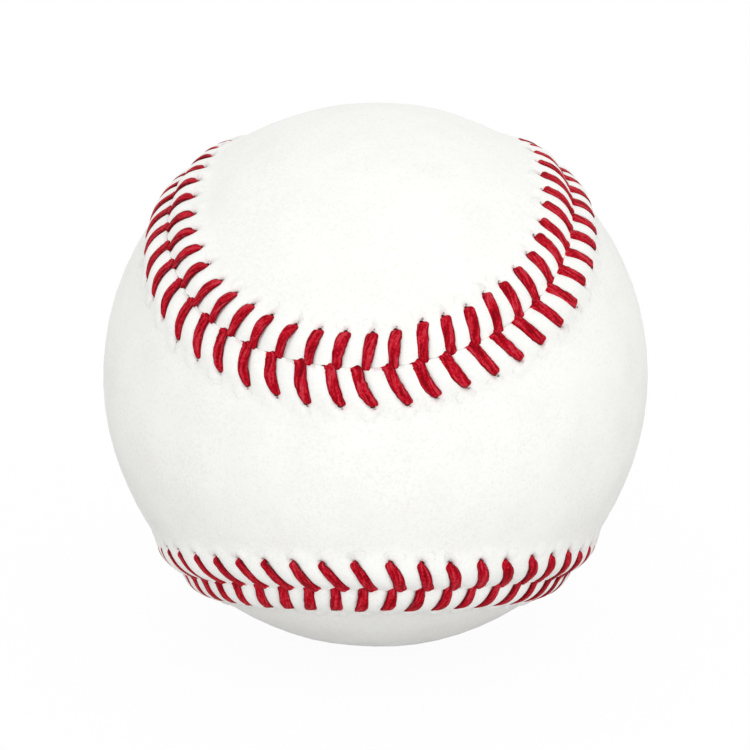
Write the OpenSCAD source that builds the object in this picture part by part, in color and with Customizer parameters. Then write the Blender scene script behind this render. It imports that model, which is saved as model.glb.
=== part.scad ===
/* [Centre] */
// Diameter of the cork and rubber ball in the middle
cork_d = 20.64; // [16:0.01:24]
// Wall of the two black rubber shells round the cork
black_rubber_wall = 3.97; // [2:0.01:5]
// Thickness of the flat washer between the two black shells
washer_t = 0.8; // [0.4:0.1:1.6]
// Wall of the red rubber layer that makes the pill
red_rubber_wall = 2.38; // [1:0.01:4]

/* [Windings] */
// Girth over the four-ply grey wool
grey_wool_girth = 196.85; // [180:0.05:202]
// Girth over the three-ply white wool
white_wool_girth = 207.96; // [204:0.05:214]
// Girth over the three-ply grey wool
second_grey_girth = 222.25; // [216:0.05:223]
// Girth over the fine white finishing yarn, the wound ball
wound_girth = 225.43; // [224:0.05:228]

/* [Cover] */
// Thickness of the leather
leather_t = 1.25; // [1.1:0.05:1.6]
// Number of holes along the edge of each panel
stitches = 108; // [96:4:112]
// Distance from the seam to the middle of a hole
hole_setback = 4.75; // [4.2:0.05:5.2]
// Hole from point to point, along the seam and across it
hole_size = 1.6; // [1.5:0.05:1.8]
// Open crease between the two panels
seam_gap = 0.6; // [0.6:0.05:0.8]
// Rise of the leather between two stitches
pad_rise = 0.95; // [0.6:0.05:1.2]
// Rise of the leather under a stitch
groove_rise = 0.25; // [0.15:0.05:0.4]
// Width of the raised band, from the seam to where the panel lies flat
band_w = 8.5; // [7.5:0.1:10]

/* [Thread] */
// Width of a stitch across its flat top
stitch_w = 1.5; // [1.2:0.05:1.8]
// Thickness of a stitch where it is fullest
stitch_t = 0.7; // [0.5:0.05:0.8]
// Width of the thread where it is drawn through the leather
drawn_w = 0.8; // [0.6:0.05:0.9]
// Thickness of the thread where it is drawn through the leather
drawn_t = 0.45; // [0.3:0.05:0.45]

/* [Seam line] */
// How far the seam swings to the front and back of the middle plane, along the leather
seam_reach = 42.74; // [40.4:0.02:44.3]
// How far it is drawn along, which rounds the lobes and narrows the waists
seam_sway = 14.53; // [12:0.01:16.3]

/* [Hidden] */
// Ripples of the seam line that square its lobes a little
reach_ripple = -0.33;
sway_ripple = 0.59;

// Radii from the middle outwards
layer_clearance = 0.1;
cork_r = cork_d / 2;
black_r = cork_r + layer_clearance + black_rubber_wall;
pill_r = black_r + layer_clearance + red_rubber_wall;
washer_outer_r = sqrt(pow(black_r, 2) - pow(washer_t / 2, 2));
grey_wool_r = grey_wool_girth / (2 * PI);
white_wool_r = white_wool_girth / (2 * PI);
second_grey_r = second_grey_girth / (2 * PI);
wound_r = wound_girth / (2 * PI);

// The cover lies on the windings with a film of cement between them
cement_t = 0.2;
cover_inner_r = wound_r + cement_t;
cover_r = cover_inner_r + leather_t;

// Angle at the middle of the ball of a length measured along the leather
function leather_angle(length) = length / cover_r * 180 / PI;

// The seam line by its own length, so that the stitches lie evenly
seam_steps = 720;
seam_step = 360 / seam_steps;
seam_run = [
    for (k = 0, run = 0;
         k <= seam_steps;
         run = run + norm(seam_point((k + 1) * seam_step) - seam_point(k * seam_step)), k = k + 1)
        [run, k * seam_step]
];
seam_length = seam_run[seam_steps][0];
pitch = seam_length * cover_r / stitches;

// Where a stitch leaves its hole and where it dives into the seam, in stitches along the seam
hole_share = [0.32, 0.31];
dive_share = [-0.25, 0.08];
function side_index(side) = side > 0 ? 1 : 0;
function hole_at(side) = hole_share[side_index(side)];
function dive_at(side) = dive_share[side_index(side)];

// Rows of the raised band: edge at the crease, crest, and the two ends of the holes
crest_share = 0.4;
edge_n = seam_gap / 2;
crest_n = hole_setback * crest_share;
hole_front_n = hole_setback - hole_size / 2;
hole_back_n = hole_setback + hole_size / 2;

// Rise of each row, as shares: under a stitch of groove_rise, between stitches of pad_rise
edge_groove_share = 0.2;
front_groove_share = 1.6;
side_groove_share = 1.4;
back_groove_share = 0.8;
edge_pad_share = 0.35;
front_pad_share = 0.85;
back_pad_share = 0.35;

// From its dive the thread runs on under the other panel to the hole one stitch back
function hidden_reach(side) = hole_at(-side) - 1 - dive_at(side);

// The thread lies in a channel between the windings and the leather
thread_clearance = 0.12;
hidden_run = norm([hole_setback, hidden_reach(1) * pitch]);
hidden_sag = pow(hidden_run, 2) / (8 * wound_r);
facet_sag = (pow(hole_front_n, 2) + pow(pitch, 2)) / (8 * wound_r);
thread_r = wound_r + thread_clearance + hidden_sag + drawn_t / 2;
channel_r = thread_r + drawn_t / 2 + thread_clearance + facet_sag;

// The stitch lies in the groove between two pads, on the slopes that its underside meets
under_clearance = 0.06;
groove_slope = (pad_rise - groove_rise) / (pitch / 2);
slope_lift = drawn_w / 2 * groove_slope;
crest_leg_r = cover_r + groove_rise + slope_lift + under_clearance + stitch_t / 2;
hole_leg_r = cover_r + groove_rise * front_groove_share + slope_lift + 2 * under_clearance + drawn_t / 2;
dive_leg_r = cover_r + groove_rise * edge_groove_share + slope_lift + drawn_t / 2;

// Flat top of a stitch where it dives, as a share of stitch_w
dive_top_share = 0.6;

// How far the tucked ends of the thread run on, as a share of the last hidden run
tail_share = 0.15;

// Spacing of the points across the flat of a panel
flat_spacing = 4.6;

// Direction from the middle of the ball to the seam, at an angle round the seam's loop
function seam_point(t) =
    let (
        rise = leather_angle(seam_reach * cos(2 * t) + reach_ripple * cos(6 * t)),
        turn = t + leather_angle(seam_sway * sin(4 * t) + sway_ripple * sin(8 * t))
    )
    [cos(rise) * sin(turn), -sin(rise), cos(rise) * cos(turn)];

function unit(v) = v / norm(v);

// Out, along and across at a place counted in stitches along the seam
function seam_frame(x) =
    let (
        turns = x / stitches,
        t = lookup((turns - floor(turns)) * seam_length, seam_run),
        out = seam_point(t),
        chord = seam_point(t + seam_step) - seam_point(t - seam_step),
        along = unit(chord - (chord * out) * out)
    )
    [out, along, cross(out, along)];

// The same frame a distance n to the side of the seam, measured on the ball
function side_frame(x, n) =
    let (f = seam_frame(x), a = leather_angle(n))
    [cos(a) * f[0] + sin(a) * f[2], f[1], cos(a) * f[2] - sin(a) * f[0]];

function place(x, n, r) = r * side_frame(x, n)[0];

// Columns of points: under a stitch, and halfway to the next one
function stitch_column(side, i, n) =
    i + dive_at(side) + (hole_at(side) - dive_at(side)) * n / hole_setback;
function pad_column(side, i, n) = stitch_column(side, i, n) + 0.5;
function flat_column(i) = i + 0.5;

function groove_point(side, i, n, r) = place(stitch_column(side, i, n), side * n, r);
function pad_point(side, i, n, r) = place(pad_column(side, i, n), side * n, r);
function hole_side_point(side, i, way, r) =
    place(i + hole_at(side) + way * hole_size / 2 / pitch, side * hole_setback, r);
function hole_end_point(side, i, n, r) = place(i + hole_at(side), side * n, r);

// The points of one stitch's stretch of the band, outside and inside
function outer_points(side, i) = [
    groove_point(side, i, edge_n, cover_r + groove_rise * edge_groove_share),
    pad_point(side, i, edge_n, cover_r + pad_rise * edge_pad_share),
    groove_point(side, i, crest_n, cover_r + groove_rise),
    pad_point(side, i, crest_n, cover_r + pad_rise),
    hole_end_point(side, i, hole_front_n, cover_r + groove_rise * front_groove_share),
    pad_point(side, i, hole_front_n, cover_r + pad_rise * front_pad_share),
    hole_side_point(side, i, -1, cover_r + groove_rise * side_groove_share),
    hole_side_point(side, i, 1, cover_r + groove_rise * side_groove_share),
    hole_end_point(side, i, hole_back_n, cover_r + groove_rise * back_groove_share),
    pad_point(side, i, hole_back_n, cover_r + pad_rise * back_pad_share),
    place(flat_column(i), side * band_w, cover_r)
];
function inner_points(side, i) = [
    groove_point(side, i, edge_n, channel_r),
    pad_point(side, i, edge_n, channel_r),
    hole_end_point(side, i, hole_front_n, channel_r),
    pad_point(side, i, hole_front_n, channel_r),
    hole_side_point(side, i, -1, channel_r),
    hole_side_point(side, i, 1, channel_r),
    hole_end_point(side, i, hole_back_n, channel_r),
    pad_point(side, i, hole_back_n, channel_r),
    place(flat_column(i), side * band_w, cover_inner_r)
];
function band_points(side, i) = concat(outer_points(side, i), inner_points(side, i));
band_count = len(band_points(1, 0));
last_outer = len(outer_points(1, 0)) - 1;
last_inner = band_count - 1;

// The band's faces for one stitch, as places in band_points; 100 more means the next stitch's point
next = 100;
band_faces = [
    [0, 1, 3, 2], [1, 0 + next, 2 + next, 3],
    [2, 3, 5, 4], [5, 3, 2 + next, 4 + next],
    [4, 5, 7], [5, 4 + next, 6 + next], [5, 6 + next, 7],
    [7, 6 + next, 9], [6 + next, 8 + next, 9], [7, 9, 8],
    [8, 9, 10], [9, 10 + next, 10], [9, 8 + next, 10 + next],
    [11, 12, 1, 0], [12, 11 + next, 0 + next, 1],
    [13, 14, 12, 11], [14, 13 + next, 11 + next, 12],
    [16, 14, 13], [15 + next, 13 + next, 14], [16, 15 + next, 14],
    [18, 15 + next, 16], [18, 17 + next, 15 + next], [17, 18, 16],
    [19, 18, 17], [19, 19 + next, 18], [19 + next, 17 + next, 18],
    [4, 7, 16, 13], [7, 8, 17, 16], [8, 6, 15, 17], [6, 4, 13, 15]
];

function band_index(code, i) =
    code < next ? band_count * i + code : band_count * ((i + 1) % stitches) + code - next;

function split_face(f) = len(f) == 3 ? [f] : [[f[0], f[1], f[2]], [f[0], f[2], f[3]]];

// The flat of a panel is filled by rungs from each point of the band to its mirror point
function rung_left(side, j) = ((side > 0 ? 0 : stitches / 4) + j) % stitches;
function rung_right(side, j) = ((side > 0 ? 0 : stitches / 4) - 1 - j + stitches) % stitches;
function flat_way(i, side) = place(flat_column(i), side * band_w, 1);
function rung_angle(side, j) =
    acos(flat_way(rung_left(side, j), side) * flat_way(rung_right(side, j), side));
function rung_parts(side, j) =
    max(1, round(rung_angle(side, j) * PI / 180 * cover_r / flat_spacing));

// A direction on the great circle from a to b, which are at the angle w from each other
function between(a, b, w, share) = (sin((1 - share) * w) * a + sin(share * w) * b) / sin(w);

function rung_points(side, j, r) =
    let (
        a = flat_way(rung_left(side, j), side),
        b = flat_way(rung_right(side, j), side),
        w = rung_angle(side, j),
        parts = rung_parts(side, j)
    )
    [for (k = [1 : 1 : parts - 1]) r * between(a, b, w, k / parts)];

// Faces between two rows of points that may differ in number
function strip_partner(i, a, b) = floor((i + 0.5) * b / a + 0.5);
function strip(p, q) =
    let (a = len(p) - 1, b = len(q) - 1)
    concat(
        [for (i = [0 : a - 1]) [p[i], q[strip_partner(i, a, b)], p[i + 1]]],
        [for (j = [0 : b - 1])
            let (i = len([for (k = [0 : a - 1]) if (strip_partner(k, a, b) <= j) k]))
            [p[i], q[j], q[j + 1]]]
    );

module cover_panel(side) {
    rungs = stitches / 2;
    band = [for (i = [0 : stitches - 1]) each band_points(side, i)];
    counts = [for (j = [0 : rungs - 1]) rung_parts(side, j) - 1];
    starts = [for (j = 0, s = 0; j < rungs; s = s + counts[j], j = j + 1) s];
    flat_count = starts[rungs - 1] + counts[rungs - 1];
    outer_start = len(band);
    inner_start = outer_start + flat_count;
    outer_rows = [for (j = [0 : rungs - 1]) rung_row(side, j, last_outer, outer_start + starts[j])];
    inner_rows = [for (j = [0 : rungs - 1]) rung_row(side, j, last_inner, inner_start + starts[j])];
    points = concat(
        band,
        [for (j = [0 : rungs - 1]) each rung_points(side, j, cover_r)],
        [for (j = [0 : rungs - 1]) each rung_points(side, j, cover_inner_r)]
    );
    faces = concat(
        [for (i = [0 : stitches - 1]) for (f = band_faces)
            each split_face([for (code = f) band_index(code, i)])],
        [for (j = [0 : rungs - 2]) each strip(outer_rows[j], outer_rows[j + 1])],
        [for (j = [0 : rungs - 2]) for (f = strip(inner_rows[j], inner_rows[j + 1]))
            [f[2], f[1], f[0]]]
    );
    polyhedron(points, side > 0 ? [for (f = faces) [f[2], f[1], f[0]]] : faces, convexity = 8);
}

function rung_row(side, j, code, start) =
    concat(
        [band_index(code, rung_left(side, j))],
        [for (k = [1 : 1 : rung_parts(side, j) - 1]) start + k - 1],
        [band_index(code, rung_right(side, j))]
    );

// One ring of the thread: its four corners, wide side first, about a point of its route.
// lean turns its width along the seam, tilt turns its thickness from outwards to across the seam.
function ring(x, n, r, lean, tilt, first_w, second_w, t) =
    let (
        f = side_frame(x, n),
        wide = cos(lean) * f[1] + sin(lean) * f[2],
        ahead = cos(lean) * f[2] - sin(lean) * f[1],
        thick = t / 2 * (cos(tilt) * f[0] + sin(tilt) * ahead)
    )
    [
        r * f[0] - first_w / 2 * wide + thick,
        r * f[0] + first_w / 2 * wide + thick,
        r * f[0] + second_w / 2 * wide - thick,
        r * f[0] - second_w / 2 * wide - thick
    ];

// Thickness of the thread on the mitre of a square turn
function mitred(t) = t / cos(45);

// Lean of a run that goes along by dx stitches while it crosses the seam by dn
function run_lean(dx, dn) = -atan(dx * pitch / dn);
leg_lean = [
    run_lean(dive_at(-1) - hole_at(-1), hole_setback),
    run_lean(hole_at(1) - dive_at(1), hole_setback)
];

// Lean of the hidden run that starts where a side's leg dives, and the tilt of its thickness
function hidden_lean(side) = run_lean(hidden_reach(side), -side * hole_setback);
function hidden_tilt(side) = side > 0 ? 0 : 180;

// Up through a hole, over the leather and down into the seam
function leg_rings(side, i) =
    let (
        lean = leg_lean[side_index(side)],
        turn = hidden_tilt(side),
        hole_x = i + hole_at(side),
        crest_x = stitch_column(side, i, crest_n),
        dive_x = i + dive_at(side),
        dive_w = stitch_w * dive_top_share,
        up = side > 0
    )
    [
        ring(hole_x, side * hole_setback, thread_r, (lean + hidden_lean(-side)) / 2,
            turn + side * 135, drawn_w, drawn_w, mitred(drawn_t)),
        ring(hole_x, side * hole_setback, hole_leg_r, lean,
            turn + side * 45, drawn_w, drawn_w, mitred(drawn_t)),
        ring(crest_x, side * crest_n, crest_leg_r, lean,
            turn, up ? stitch_w : drawn_w, up ? drawn_w : stitch_w, stitch_t),
        ring(dive_x, 0, dive_leg_r, 0,
            turn - side * 45, up ? dive_w : drawn_w, up ? drawn_w : dive_w, mitred(drawn_t)),
        ring(dive_x, 0, thread_r, 0,
            turn - side * 45, drawn_w, drawn_w, mitred(drawn_t))
    ];

// The cut end, tucked in the channel a little way past the last dive
function tail_ring(side, i) =
    ring(i + dive_at(side) + tail_share * hidden_reach(side), -side * tail_share * hole_setback,
        thread_r, hidden_lean(side), hidden_tilt(side), drawn_w, drawn_w, drawn_t);

// One end of the thread, with its needle, sews every second hole of each panel,
// a stitch further back on the other panel each time
function working_end(first_side) =
    concat(
        [for (k = [0 : stitches - 1]) each leg_rings(k % 2 == 0 ? first_side : -first_side, -k)],
        [tail_ring(-first_side, 1 - stitches)]
    );

// The middle of the thread crosses under the seam between the first two holes
function middle_ring() = ring(0.5, 0, thread_r, 0, 180, drawn_w, drawn_w, drawn_t);

// One thread sews the whole ball from its middle, with a needle on each end
module stitching_thread() {
    front_end = working_end(-1);
    back_end = working_end(1);
    rings = concat(
        [for (k = [len(front_end) - 1 : -1 : 0]) [for (c = [3 : -1 : 0]) front_end[k][c]]],
        [middle_ring()],
        back_end
    );
    corners = 4;
    last = corners * (len(rings) - 1);
    walls = [
        for (k = [0 : len(rings) - 2]) for (c = [0 : corners - 1])
            each split_face([
                corners * k + c,
                corners * k + (c + 1) % corners,
                corners * (k + 1) + (c + 1) % corners,
                corners * (k + 1) + c
            ])
    ];
    ends = [[3, 2, 1], [3, 1, 0], [last, last + 1, last + 2], [last, last + 2, last + 3]];
    color("#b3122c")
        polyhedron([for (r = rings) each r], concat(walls, ends), convexity = 8);
}

module layer(outer_r, inner_r) {
    difference() {
        sphere(outer_r, $fn = 96);
        sphere(inner_r, $fn = 96);
    }
}

module cork_core() {
    color("#c49a6c")
        sphere(cork_r, $fn = 96);
}

// Half of the black layer; way is 1 for the shell on the right and -1 for the one on the left
module black_shell(way) {
    color("#1d1d1f")
        intersection() {
            layer(black_r, cork_r + layer_clearance);
            translate([way > 0 ? washer_t / 2 : -washer_t / 2 - black_r, -black_r, -black_r])
                cube([black_r, 2 * black_r, 2 * black_r]);
        }
}

module black_shell_left() {
    black_shell(-1);
}

module black_shell_right() {
    black_shell(1);
}

// Flat ring of red rubber between the rims of the two black shells
module pill_washer() {
    color("#a3282c")
        rotate([0, 90, 0])
            linear_extrude(washer_t, center = true)
                difference() {
                    circle(washer_outer_r, $fn = 96);
                    circle(cork_r + layer_clearance, $fn = 96);
                }
}

module red_layer() {
    color("#a3282c")
        layer(pill_r, black_r + layer_clearance);
}

module grey_wool_winding() {
    color("#8d8d8b")
        layer(grey_wool_r, pill_r + layer_clearance);
}

module white_wool_winding() {
    color("#e6e1d4")
        layer(white_wool_r, grey_wool_r + layer_clearance);
}

module second_grey_winding() {
    color("#9a9a98")
        layer(second_grey_r, white_wool_r + layer_clearance);
}

module finishing_winding() {
    color("#f2efe6")
        layer(wound_r, second_grey_r + layer_clearance);
}

module cover_panel_back() {
    color("#f6f4ee")
        cover_panel(1);
}

module cover_panel_front() {
    color("#f3f1ea")
        cover_panel(-1);
}

cork_core();
black_shell_left();
black_shell_right();
pill_washer();
red_layer();
grey_wool_winding();
white_wool_winding();
second_grey_winding();
finishing_winding();
cover_panel_back();
cover_panel_front();
stitching_thread();
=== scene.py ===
# A leather baseball: two figure-eight panels of white leather over a wound ball,
# sewn together by hand with one waxed red thread. Work is in millimetres until a mesh is placed.
import math
import bmesh
import bpy
import numpy as np
from functools import partial
from mathutils import Matrix, Vector


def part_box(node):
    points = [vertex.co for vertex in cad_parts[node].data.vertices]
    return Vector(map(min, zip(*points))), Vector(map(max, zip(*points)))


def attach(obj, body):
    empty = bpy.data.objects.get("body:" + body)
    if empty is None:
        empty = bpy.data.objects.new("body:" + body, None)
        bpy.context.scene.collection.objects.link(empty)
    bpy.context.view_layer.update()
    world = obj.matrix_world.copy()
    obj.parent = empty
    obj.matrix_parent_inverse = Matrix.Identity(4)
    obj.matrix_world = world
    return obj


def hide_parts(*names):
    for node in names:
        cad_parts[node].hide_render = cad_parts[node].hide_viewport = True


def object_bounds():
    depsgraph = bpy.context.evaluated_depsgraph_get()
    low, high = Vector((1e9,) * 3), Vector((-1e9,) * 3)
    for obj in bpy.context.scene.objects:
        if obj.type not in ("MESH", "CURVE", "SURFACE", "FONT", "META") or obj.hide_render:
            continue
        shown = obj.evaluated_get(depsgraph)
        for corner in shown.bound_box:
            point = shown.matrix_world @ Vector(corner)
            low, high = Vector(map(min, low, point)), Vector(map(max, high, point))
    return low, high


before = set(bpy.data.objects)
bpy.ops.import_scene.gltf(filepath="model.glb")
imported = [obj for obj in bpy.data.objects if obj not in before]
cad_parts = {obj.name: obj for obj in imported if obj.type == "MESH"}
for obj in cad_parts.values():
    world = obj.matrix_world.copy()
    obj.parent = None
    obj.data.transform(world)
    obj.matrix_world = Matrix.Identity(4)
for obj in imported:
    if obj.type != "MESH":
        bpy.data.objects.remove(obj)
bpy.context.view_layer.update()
mm = 0.001
front, back = -1, 1   # side of the seam that each panel lies on

# The ball's radii, from the wound ball that the solids give
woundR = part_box("finishing_winding")[1].x / mm
ball = {
    "cement": 0.2,        # film between the windings and the leather
    "leather": 1.25,      # thickness of the leather
    "threadLift": 0.55,   # middle of the hidden thread above the windings
    "channelLift": 1.0,   # inner face of the leather above the windings, along the seam
}
innerR = woundR + ball["cement"]
leatherR = innerR + ball["leather"]
threadR = woundR + ball["threadLift"]
channelR = woundR + ball["channelLift"]

seam = {
    "stitches": 108,
    "reach": 42.74,            # swing to the front and back of the middle plane, along the leather
    "sway": 14.53,             # how far it is drawn along, which rounds the lobes
    "reachRipple": -0.33,
    "swayRipple": 0.59,
    "setback": 4.75,           # from the seam to the middle of a hole
    "holeAt": {back: 0.31, front: 0.32},   # place of a hole along the seam, in stitches
    "diveAt": {back: 0.11, front: -0.14},  # place where a stitch reaches the seam
    "sinkAt": {back: 0.11, front: -0.40},  # and where it sinks into it
    "lobeTip": {back: 0, front: 27},       # stitch at the tip of one lobe
    "turnSoftness": 0.01,      # how softly a stitch's line turns into the pleat beyond its hole
    "pleatFrom": 0.4,          # where the pleat begins to lean, past the hole
    "pleatReach": 3,           # and how much further on it leans in full
    "pleatLean": 0.10,         # in stitches
    # Where the sewer's hand strayed, as pairs of a stitch and how far. The seam, in mm to the back:
    "stray": [(-17, 0), (-10, -0.08), (-3, -0.14), (2, 0.04), (5, 0.36), (10, 0.34), (18, 0)],
    # The holes alone, in mm to the back
    "holeStray": [(-17, 0), (-10, -0.14), (-3, -0.24), (0, -0.20), (3, 0), (6, 0.06), (12, 0)],
    # The thread's fullness, as a share
    "fuller": [(-18, 0), (-12, -0.09), (-7, -0.07), (-1, 0), (2, 0), (5, 0.08), (9, 0.14), (14, 0.10),
               (20, 0)],
    # The stitches, in stitches along
    "creep": [(-34, 0), (-15, -0.42), (-12, -0.38), (-10, -0.24), (-7, -0.13), (-4, -0.07), (0, 0)],
}
stitches = seam["stitches"]


def seamPoint(t):
    # Direction from the middle of the ball to the seam, t radians round the seam's loop
    rise = (seam["reach"] * np.cos(2 * t) + seam["reachRipple"] * np.cos(6 * t)) / leatherR
    turn = t + (seam["sway"] * np.sin(4 * t) + seam["swayRipple"] * np.sin(8 * t)) / leatherR
    return np.stack([np.cos(rise) * np.sin(turn), -np.sin(rise), np.cos(rise) * np.cos(turn)], -1)


def unit(v):
    return v / np.linalg.norm(v, axis=-1, keepdims=True)


seamTurns = np.linspace(0, 2 * math.pi, 7201)
seamSteps = np.linalg.norm(np.diff(seamPoint(seamTurns), axis=0), axis=1)
seamRun = np.concatenate([[0], np.cumsum(seamSteps)])
pitch = seamRun[-1] * leatherR / stitches


def seamFrame(x):
    # Out, along and across at a place counted in stitches along the seam
    run = np.mod(np.asarray(x, float) / stitches, 1) * seamRun[-1]
    t = np.interp(run, seamRun, seamTurns)
    out = seamPoint(t)
    near = 0.002   # radians, half of a short chord
    chord = seamPoint(t + near) - seamPoint(t - near)
    along = unit(chord - (chord * out).sum(-1, keepdims=True) * out)
    return out, along, np.cross(out, along)


def strayed(x, points):
    # A slow drift along the seam, which is nothing outside the stitches that its points name
    near = (np.asarray(x, float) + stitches / 2) % stitches - stitches / 2
    return np.interp(near, [p[0] for p in points], [p[1] for p in points])


def place(x, n, r):
    # Point at x stitches along the seam, n to its side and r from the middle of the ball
    x, n, r = np.broadcast_arrays(x, n, r)
    out, _, across = seamFrame(x)
    a = ((n + strayed(x, seam["stray"])) / leatherR)[..., None]
    return (np.cos(a) * out + np.sin(a) * across) * r[..., None]


# A hand-sewn seam is a little uneven from stitch to stitch. Slips, leans and pulls are in stitches along
# the seam, drifts in millimetres, turns in radians, and the rest are shares.
hand = np.random.default_rng(108)
sewing = {
    side: {
        "holeSlip": hand.normal(0, 0.030, stitches),
        "diveSlip": hand.normal(0, 0.035, stitches),
        "holeDrift": np.clip(hand.normal(-0.06, 0.13, stitches)
                             + side * strayed(range(stitches), seam["holeStray"]), -0.48, 0.48),
        "padSwell": 1 + hand.normal(0, 0.06, stitches),
        "pleatDepth": np.clip(1 + hand.normal(0, 0.4, stitches), 0.3, 2),
        "pleatLean": hand.normal(seam["pleatLean"], 0.07, stitches),
        "puckerTurn": hand.uniform(0, 2 * math.pi, stitches),
        "knuckle": np.clip(hand.normal(1, 0.35, stitches), 0.25, 1.8),
        "knuckleDrift": hand.normal(0, 0.15, stitches),
        "fullness": 1 + hand.normal(0, 0.05, stitches),
        "pull": hand.normal(0, 0.028, stitches),
    }
    for side in (back, front)
}


def softCurve(points, blur):
    # A curve through the points, smoothed over a few tenths of a millimetre
    step = 0.01
    n = np.arange(-3, 15, step)   # mm, beyond both ends of every curve
    h = np.interp(n, [p[0] for p in points], [p[1] for p in points])
    half = int(round(blur / step))
    kernel = np.hanning(2 * half + 3)
    h = np.convolve(np.pad(h, half + 1, mode="edge"), kernel / kernel.sum(), "valid")
    return lambda q: np.interp(q, n, h)


def stitchLine(side, i, n):
    # Place along the seam of stitch i's middle line, n from the seam
    sewn = sewing[side]
    i = np.asarray(i, int)
    q = n / seam["setback"]
    share = 0.5 * (q + 1 - np.sqrt((q - 1) ** 2 + seam["turnSoftness"]))
    dive = seam["diveAt"][side] + sewn["diveSlip"][i % stitches]
    hole = seam["holeAt"][side] + sewn["holeSlip"][i % stitches]
    beyond = np.clip((n - seam["setback"] - seam["pleatFrom"]) / seam["pleatReach"], 0, 1)
    lean = sewn["pleatLean"][i % stitches] * beyond * beyond
    return i + strayed(i, seam["creep"]) + dive + (hole - dive) * share + lean


# The leather: how high it stands over the flat of the ball, by the distance from the seam
cover = {
    "columns": 16,           # columns of the mesh from one stitch to the next
    "padHeight": softCurve([(0, 0.54), (0.5, 0.76), (1.2, 1.06), (2.2, 1.24), (3.2, 1.22), (4.2, 0.98),
                            (5.2, 0.56), (5.9, 0.24), (6.6, 0.07), (7.6, 0)], 0.5),
    "grooveHeight": softCurve([(0, 0.02), (0.6, 0.22), (1.9, 0.58), (3.0, 0.64), (3.9, 0.46), (4.6, 0.20),
                               (5.3, 0.08), (6.0, 0.02), (6.9, -0.02), (7.7, 0)], 0.35),
    "grooveHalf": softCurve([(0, 0.10), (2.5, 0.12), (3.8, 0.11), (4.7, 0.06), (5.5, 0.01), (6.5, 0)], 0.3),
    "padRound": softCurve([(0, 0.75), (1.5, 0.62), (4.0, 0.62), (9, 0.6)], 0.3),
    # Distances from the seam of the outer face's rows
    "rows": [8.5, 7.9, 7.35, 6.85, 6.4, 6.0, 5.65, 5.35, 5.05, 4.75, 4.45, 4.15,
             3.85, 3.5, 3.1, 2.7, 2.3, 1.9, 1.5, 1.15, 0.85],
    "roll": [90, 62, 32, 0],    # the rounded edge, in degrees down into the crease
    "wall": [0.5, 0],           # the cut edge, as shares of its height
    "innerRows": [0.9, 1.8, 2.9, 4.15, 4.45, 4.75, 5.05, 5.35, 6.8, 8.5],
    "channel": (5.35, 8.5),     # how far from the seam the inner face is lifted in full, and at all
    "edgeAt": 0.4,              # the columns of the edge run as those this far from the seam do
    "rollR": 0.30,
    # Height of the rounding and half width of the crease, where two pads meet and where a stitch goes down
    "rollDrop": (0.07, 0.20),
    "creaseHalf": (0.004, 0.12),
    "diveReach": 0.15,          # length of that opening to each side, in stitches
    "diveWay": 0.6,             # how far towards the place where the stitch sinks it is open
    "holeHalf": 0.38,           # half of a needle hole along the seam
    "holeReach": 0.36,          # and away from it
    "holeRow": 0.3,             # space between the rows at the holes
    "holeSteps": 2,             # rows and columns from a hole's middle to its rim
    # The leather puckers round a hole: folds, height, radius and half width, and how far it reaches round
    "puckers": (6, 0.03, 1.25, 0.7, 0.35),
    "dimple": (0.10, 0.55),     # depth and radius of the dent round a hole
    # The bulge beyond a hole: height, then distance past it and to the side, half length and half width
    "knuckleHeight": {back: 0.27, front: 0.19},
    "knuckle": (1.15, -0.35, 0.90, 1.10),
    "flatParts": 14,            # spaces across the flat of the panel
    # Uneven winding felt through the leather: waves, their height, and their shortest and longest length
    "waves": 22,
    "swell": 0.045,
    "waveLength": (8, 22),
}
weld = 0.0001   # mm under which points of a mesh are one


def unevenness(p):
    # Slow waves of a few hundredths of a millimetre over the whole ball
    rng = np.random.default_rng(9)
    total = 0
    for _ in range(cover["waves"]):
        way = unit(rng.normal(size=3)) * 2 * math.pi / rng.uniform(*cover["waveLength"])
        start = rng.uniform(0, 6.3)   # radians, up to a whole wave
        total = total + np.sin(p @ way + start) / math.sqrt(cover["waves"] / 2)
    return total * cover["swell"]


def leatherHeight(side, i, phase, n, x):
    # Height over the flat at a place that is phase of the way from stitch i to the next
    sewn = sewing[side]
    i = i % stitches
    before = phase < 0.5 - 1e-6   # so that rounding can't part the two ends of the band
    nearest = np.where(before, i, (i + 1) % stitches)
    off = np.where(before, phase, phase - 1)
    half = cover["grooveHalf"](n)
    rise = np.clip((np.abs(off) - half) / (0.5 - half), 0, 1)
    pad = np.sin(rise * math.pi / 2) ** cover["padRound"](n)
    deep = cover["grooveHeight"](n)
    deep = np.where(deep < 0, deep * sewn["pleatDepth"][nearest], deep)
    high = cover["padHeight"](n) * sewn["padSwell"][i]
    h = deep + (high - deep) * pad
    # Along the seam and away from it, from the middle of the nearest hole
    dx = (x - stitchLine(side, nearest, seam["setback"]) + stitches / 2) % stitches - stitches / 2
    dn = n - seam["setback"] - sewn["holeDrift"][nearest]
    rho = np.hypot(dx * pitch, dn)
    theta = np.arctan2(dn, dx * pitch)
    folds, fold, radius, spread, reach = cover["puckers"]
    ring = np.exp(-((rho - radius) / spread) ** 2) * np.clip(np.sin(theta) + reach, 0, 1)
    h = h + fold * ring * np.sin(folds * theta + sewn["puckerTurn"][nearest])
    high = cover["knuckleHeight"][side]
    far, aside, halfLength, halfWidth = cover["knuckle"]
    aside = aside + sewn["knuckleDrift"][nearest]
    bulge = np.exp(-(((dx * pitch - aside) / halfWidth) ** 2 + ((dn - far) / halfLength) ** 2) ** 2)
    deep, radius = cover["dimple"]
    return h + high * sewn["knuckle"][nearest] * bulge - deep * np.exp(-(rho / radius) ** 2)


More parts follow.
